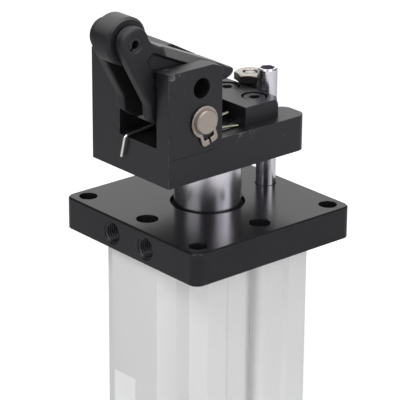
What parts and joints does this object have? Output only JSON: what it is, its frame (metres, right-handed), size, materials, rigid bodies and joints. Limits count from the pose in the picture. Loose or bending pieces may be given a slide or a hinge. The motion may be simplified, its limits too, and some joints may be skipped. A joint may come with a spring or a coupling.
{
  "type": "stopper cylinder",
  "caption": "Lever stopper cylinder with a flanged extruded barrel, chrome rod, forked lever with roller, built-in shock absorber and guide post.",
  "frame": {"origin": "centre of the flat underside of the rear cover, on the rod axis", "axes": "+Z along the rod towards the lever; +X towards the guide post; +Y towards the far cheek of the lever holder"},
  "size_m": [0.1397, 0.12, 0.2839],
  "materials": {
    "barrel_aluminium": "matt clear anodised",
    "anodised_grey": "dark grey anodised, satin",
    "chrome_steel": "hard chromed and ground",
    "zinc_steel": "zinc plated",
    "nickel_steel": "nickel plated, warm",
    "spring_steel": "bright drawn wire",
    "black_steel": "blackened steel",
    "black_plastic": "moulded, satin",
    "bearing_plastic": "filled bearing plastic",
    "black_rubber": "nitrile rubber",
    "bronze": "sintered bronze"
  },
  "bodies": {
    "cylinder": {"rear_cover": "barrel_aluminium", "tube": "barrel_aluminium", "flange_plate": "anodised_grey", "tie_bolts": "zinc_steel", "rod_cover": "barrel_aluminium", "rod_bush": "bronze", "rod_seal": "black_rubber", "rod_wiper": "black_rubber", "cover_o_rings": "black_rubber", "rear_bumper": "black_rubber", "guide_post": "chrome_steel"},
    "head": {"piston_rod": "chrome_steel", "piston": "barrel_aluminium", "piston_seals": "black_rubber", "wear_ring": "bearing_plastic", "magnet_ring": "bearing_plastic", "piston_nut": "zinc_steel", "lever_holder": "anodised_grey", "stop_block": "anodised_grey", "stop_block_screws": "black_steel", "lock_stud": "black_steel", "lock_nut": "nickel_steel", "lever_pin": "nickel_steel", "pin_circlips": "nickel_steel", "absorber_body": "black_steel", "absorber_lock_ring": "zinc_steel", "return_springs": "spring_steel"},
    "lever_arm": {"lever": "anodised_grey", "lever_bush": "bronze", "roller_pin": "black_steel"},
    "roller_wheel": {"roller": "black_plastic", "roller_bush": "bronze"},
    "plunger": {"absorber_plunger": "chrome_steel", "absorber_cap": "black_plastic"}
  },
  "joints": [
    {"name": "rod_slide", "type": "slide", "parent": "cylinder", "child": "head", "axis": [0, 0, 1], "range_m": [-0.025, 0]},
    {"name": "lever_hinge", "type": "hinge", "parent": "head", "child": "lever_arm", "pos_m": [-0.0272, 0, 0.2206], "axis": [0, 1, 0], "range_deg": [0, 24], "stiffness_Nm_per_rad": 0.6, "springref_deg": -28.65, "deforming": ["return_springs"]},
    {"name": "roller_spin", "type": "hinge", "parent": "lever_arm", "child": "roller_wheel", "pos_m": [-0.0658, 0, 0.27], "axis": [0, 1, 0], "continuous": true},
    {"name": "plunger_slide", "type": "slide", "parent": "head", "child": "plunger", "axis": [0, 0, 1], "range_m": [-0.013, 0]}
  ],
  "couplings": [
    {"joint": "plunger_slide", "follows": "lever_hinge", "m_per_rad": -0.0308}
  ]
}
